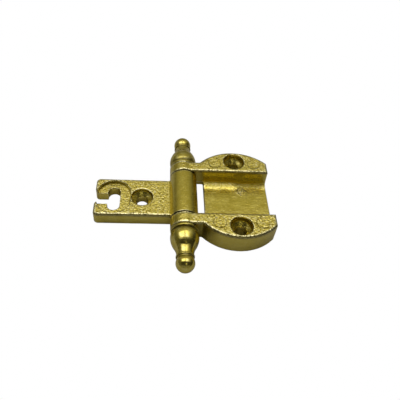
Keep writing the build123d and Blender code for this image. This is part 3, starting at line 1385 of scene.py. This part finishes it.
@dataclass
class Finial:
    """A turned finial: flange, groove, bulb, taper, bead, neck and ball, on the end of the pin."""

    name: str
    towards: int
    seat: float = 14.7
    axis_height: float = 5.0
    steps_round: int = 160
    steps_edge: int = 6
    steps_bulb: int = 10
    steps_neck: int = 5
    steps_ball: int = 40
    seat_ring: float = 2.94
    flange_radius: float = 4.9
    flange_width: float = 0.9
    flange_edge: float = 0.22
    flange_swell: float = 0.01
    groove_radius: float = 4.4
    groove_end: float = 1.25
    groove_bend: float = 0.12
    groove_lift: float = 0.072
    crown: Span = (3.3, 5.0)
    taper: tuple[Span, ...] = ((5.3, 4.68), (6.7, 4.12), (7.5, 3.69), (8.3, 3.35), (9.3, 3.08))
    bulb_end: Span = (10.6, 2.95)
    # The change of radius with distance, from the groove's end to the bulb's.
    bulb_slopes: tuple[float, ...] = (0.85, 0.0, -0.30, -0.50, -0.56, -0.34, -0.15, 0.0)
    bead_radius: float = 3.2
    bead_end: float = 11.25
    bead_edge: float = 0.24
    neck_radius: float = 2.85
    neck_end: float = 11.75
    neck_slopes: Span = (-0.1, 0.05)
    root: float = 0.03
    ball_radius: float = 3.25
    ball_lap_deg: float = 3.0
    tip_deg: float = 1.5
    tip_height: float = 0.0005

    def curve(self, stations: list[Span], slopes: tuple[float, ...], steps: int) -> np.ndarray:
        """Draws a smooth line through stations.

        Between two stations the radius is a cubic of the distance, with the
        given slope at each end.

        Args:
            stations: distance along the pin and radius.
            slopes: change of radius with distance at each station.
            steps: points per span.

        Returns:
            Rows of distance and radius, without the first station.
        """
        rows = []
        t = np.linspace(0, 1, steps + 1)[1:]
        for (d0, r0), (d1, r1), s0, s1 in zip(stations, stations[1:], slopes, slopes[1:]):
            width = d1 - d0
            radius = (2 * t**3 - 3 * t**2 + 1) * r0 + (t**3 - 2 * t**2 + t) * width * s0
            radius += (3 * t**2 - 2 * t**3) * r1 + (t**3 - t**2) * width * s1
            rows.append(np.column_stack([d0 + width * t, radius]))
        return np.vstack(rows)

    def bend(self, centre: Span, size: float, turn_deg: Span, steps: int) -> np.ndarray:
        """An arc of the profile: centre plus size times the cosine and sine of the angle."""
        angle = np.radians(np.linspace(*turn_deg, steps))
        return np.column_stack([centre[0] + size * np.cos(angle), centre[1] + size * np.sin(angle)])

    def rim(self, start: float, end: float, radius: float, edge: float) -> list[np.ndarray]:
        """Rounds both edges of a flange or bead.

        Args:
            start: distance of its near face along the pin.
            end: distance of its far face.
            radius: its radius.
            edge: the radius of its edges.

        Returns:
            Two quarter arcs, up from the near face and down to the far face.
        """
        level = radius - edge
        near = self.bend((start + edge, level), edge, (180, 90), self.steps_edge)
        return [near, self.bend((end - edge, level), edge, (90, 0), self.steps_edge)]

    def profile(self) -> np.ndarray:
        """Draws the outline from the seat to the tip.

        Returns:
            Rows of distance along the pin and radius.
        """
        flange = self.rim(0.0, self.flange_width, self.flange_radius, self.flange_edge)
        swell = [[0.5 * self.flange_width, self.flange_radius + self.flange_swell]]
        groove = self.flange_width + self.groove_bend, self.groove_radius + self.groove_lift
        bulb_start = self.groove_end, self.groove_radius + self.root
        bulb = [bulb_start, self.crown, *self.taper, self.bulb_end]
        neck = [(self.bead_end, self.neck_radius + self.root), (self.neck_end, self.neck_radius)]
        ball = self.neck_end + math.sqrt(self.ball_radius**2 - self.neck_radius**2)
        join = math.degrees(math.atan2(self.neck_radius, self.neck_end - ball))
        ball_turn = join - self.ball_lap_deg, self.tip_deg
        return np.vstack([
            [[0.0, self.seat_ring]],
            flange[0],
            swell,
            flange[1],
            self.bend(groove, self.groove_bend, (180, 300), self.steps_edge),
            self.curve(bulb, self.bulb_slopes, self.steps_bulb),
            *self.rim(self.bulb_end[0], self.bead_end, self.bead_radius, self.bead_edge),
            self.curve(neck, self.neck_slopes, self.steps_neck),
            self.bend((ball, 0.0), self.ball_radius, ball_turn, self.steps_ball),
        ])

    def shade_and_marks(self, distance: np.ndarray) -> np.ndarray:
        """Painted shade at the seat, in the groove, at the start of the bulb, both sides of the
        bead and the ball's neck.

        A crease gives its level times e to the power of minus the square of
        (distance - place) / width, and the darkest crease counts.

        Args:
            distance: distances along the pin from the seat.

        Returns:
            How dark the finial is painted there, from 0 to 1.
        """
        groove = 0.5 * (self.flange_width + self.groove_end)
        # Place, width and level of each band of painted shade.
        creases = (
            (0.0, 0.12, 1.0),
            (groove, 0.2, 1.0),
            (1.8, 0.9, 0.4),
            (self.bulb_end[0] - 0.02, 0.14, 0.9),
            (self.bead_end + 0.08, 0.16, 0.9),
            (self.neck_end, 0.16, 0.7),
        )
        place, width, level = np.array(creases).T[:, :, None]
        return (level * np.exp(-(((distance - place) / width) ** 2))).max(axis=0)

    def build(self, material: bpy.types.Material) -> bpy.types.Object:
        """Makes the piece by carrying the profile round the pin axis.

        A grid point is (radius times sine of the turn, seat plus distance,
        axis height plus radius times cosine of the turn), and one vertex on the
        axis closes each end.

        Args:
            material: the finial's finish.

        Returns:
            The piece, which replaces the CAD node of the same name.
        """
        outline = self.profile()
        rows, columns = len(outline), self.steps_round
        turn = np.linspace(0, 2 * math.pi, columns, endpoint=False)
        distance, radius = outline[:, 0][:, None], outline[:, 1][:, None]
        grid = np.empty((rows, columns, 3))
        grid[..., 0] = radius * np.sin(turn)
        grid[..., 1] = self.towards * (self.seat + distance)
        grid[..., 2] = self.axis_height + radius * np.cos(turn)
        tip = self.seat + outline[-1, 0] + self.tip_height
        ends = [[0, self.towards * end, self.axis_height] for end in (self.seat, tip)]
        points = np.vstack([grid.reshape(-1, 3), ends]) * MM
        index = np.arange(rows * columns).reshape(rows, columns)
        after = np.roll(index, -1, axis=1)
        quads = np.stack([index[:-1], after[:-1], after[1:], index[1:]], axis=-1).reshape(-1, 4)
        seat_fan = np.column_stack([np.full(columns, rows * columns), after[0], index[0]])
        tip_fan = np.column_stack([np.full(columns, rows * columns + 1), index[-1], after[-1]])
        # The faces of the finial on the far side are turned round, to point outwards.
        parts = [part[:, :: -self.towards].tolist() for part in (quads, seat_fan, tip_fan)]
        data = bpy.data.meshes.new(self.name)
        data.from_pydata(points.tolist(), [], sum(parts, []))
        # Painted shade in the creases, kept as an attribute for the finish.
        shade = np.append(np.repeat(self.shade_and_marks(outline[:, 0]), columns), [1.0, 0.0])
        mark_vertices(data, "shade_and_marks", shade)
        data.shade_smooth()
        data.materials.append(material)
        made = link_mesh(f"{self.name}_turned", data)
        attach(made, Body.WING.value)
        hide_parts(self.name)
        LOG.info("%s: %d vertices", made.name, len(points))
        return made


def dress(node: bpy.types.Object, material: bpy.types.Material) -> None:
    """Gives a CAD node a material.

    Args:
        node: the CAD node's object.
        material: the material for all its faces.
    """
    node.data.materials.clear()
    node.data.materials.append(material)
    LOG.info("%s dressed in %s", node.name, material.name)


def main() -> None:
    """Builds the studio and every piece."""
    logging.basicConfig(level=logging.INFO, format="%(name)s: %(message)s")
    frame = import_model()
    nodes = frame["nodes"]
    Studio().build()
    cast = CastBrass().material("cast_brass")
    turned = TurnedBrass().material("turned_brass")
    steel = PinSteel().material("pin_steel")
    WingCasting(nodes["wing_leaf"]).build(cast)
    ArmCasting(nodes["arm_leaf"]).build(cast)
    Finial("finial_front", -1).build(turned)
    Finial("finial_rear", 1).build(turned)
    dress(nodes["hinge_pin"], steel)


if __name__ == "__main__":
    main()
